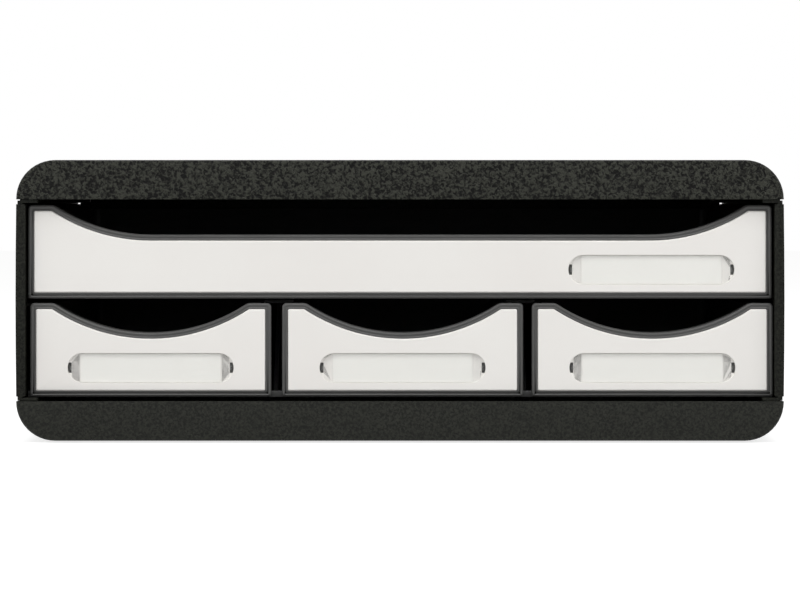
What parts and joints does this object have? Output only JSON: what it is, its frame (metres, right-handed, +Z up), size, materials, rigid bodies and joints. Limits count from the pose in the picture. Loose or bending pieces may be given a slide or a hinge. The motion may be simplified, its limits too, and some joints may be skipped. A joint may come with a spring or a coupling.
{
  "type": "desktop drawer unit",
  "caption": "Low desktop drawer unit with rounded caps: a wide drawer over a row of small ones, each with a finger cut-out and a label holder.",
  "frame": {"origin": "centre of the footprint, on the plane of the foot pads' soles", "axes": "+X to the viewer's right across the front, -Y out of the front, +Z up"},
  "size_m": [0.355, 0.27, 0.1306],
  "materials": {
    "top_shell": "coarse moulded grain",
    "base_shell": "fine moulded grain",
    "side_wall": "fine moulded grain",
    "back_wall": "fine moulded grain",
    "carrier_grey": "satin moulding",
    "tray_grey": "satin moulding",
    "front_white": "polished moulding",
    "clear_window": "clear film",
    "label_card": "plain card",
    "pad_rubber": "matt"
  },
  "bodies": {
    "housing": {"base": "base_shell", "top_cover": "top_shell", "left_side_panel": "side_wall", "right_side_panel": "side_wall", "back_panel": "back_wall", "small_drawer_carrier": "carrier_grey", "foot_pads": "pad_rubber"},
    "wide_drawer": {"wide_drawer_tray": "tray_grey", "wide_drawer_front_panel": "front_white", "wide_drawer_label_window": "clear_window", "wide_drawer_label_card": "label_card"},
    "left_drawer": {"left_drawer_tray": "tray_grey", "left_drawer_front_panel": "front_white", "left_drawer_label_window": "clear_window", "left_drawer_label_card": "label_card"},
    "middle_drawer": {"middle_drawer_tray": "tray_grey", "middle_drawer_front_panel": "front_white", "middle_drawer_label_window": "clear_window", "middle_drawer_label_card": "label_card"},
    "right_drawer": {"right_drawer_tray": "tray_grey", "right_drawer_front_panel": "front_white", "right_drawer_label_window": "clear_window", "right_drawer_label_card": "label_card"}
  },
  "joints": [
    {"name": "wide_drawer_slide", "type": "slide", "parent": "housing", "child": "wide_drawer", "axis": [0, -1, 0], "range_m": [0, 0.19]},
    {"name": "left_drawer_slide", "type": "slide", "parent": "housing", "child": "left_drawer", "axis": [0, -1, 0], "range_m": [0, 0.19]},
    {"name": "middle_drawer_slide", "type": "slide", "parent": "housing", "child": "middle_drawer", "axis": [0, -1, 0], "range_m": [0, 0.19]},
    {"name": "right_drawer_slide", "type": "slide", "parent": "housing", "child": "right_drawer", "axis": [0, -1, 0], "range_m": [0, 0.19]}
  ]
}
